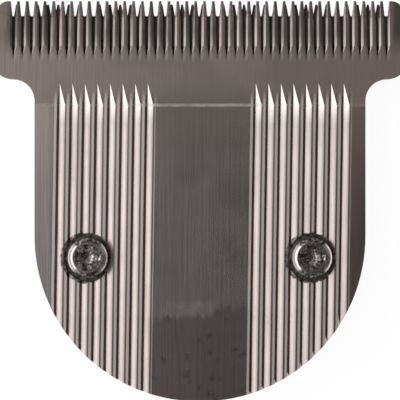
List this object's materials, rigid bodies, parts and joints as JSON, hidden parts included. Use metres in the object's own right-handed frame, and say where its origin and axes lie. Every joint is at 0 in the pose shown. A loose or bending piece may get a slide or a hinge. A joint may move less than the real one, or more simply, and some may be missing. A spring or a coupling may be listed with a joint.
{
  "type": "hair clipper blade",
  "caption": "T-shaped trimmer blade head: bevel-ground comb blade with ribbed panels, a sliding cutter behind its teeth, and a clip-on moulded base with leaf spring.",
  "frame": {"origin": "on the seat of the moulded base, midway between the axes of the two screws", "axes": "+X along the row of teeth, +Y from the screws to the tooth tips, +Z out of the ground face"},
  "size_m": [0.0408, 0.0402, 0.0084],
  "materials": {
    "ground_steel": "ground along the teeth",
    "cutter_steel": "hardened, dark oxide",
    "acetal": "moulded, natural white",
    "spring_steel": "stamped strip",
    "black_nylon": "moulded, fine spark texture",
    "screw_steel": "nickel plated"
  },
  "bodies": {
    "head": {"fixed_blade": "ground_steel", "blade_base": "black_nylon", "tension_spring": "spring_steel", "face_screws": "screw_steel"},
    "cutter": {"cutter_blade": "cutter_steel", "cutter_driver": "acetal"}
  },
  "joints": [
    {"name": "cutter_slide", "type": "slide", "parent": "head", "child": "cutter", "axis": [1, 0, 0], "range_m": [-0.0012, 0.0012]}
  ]
}
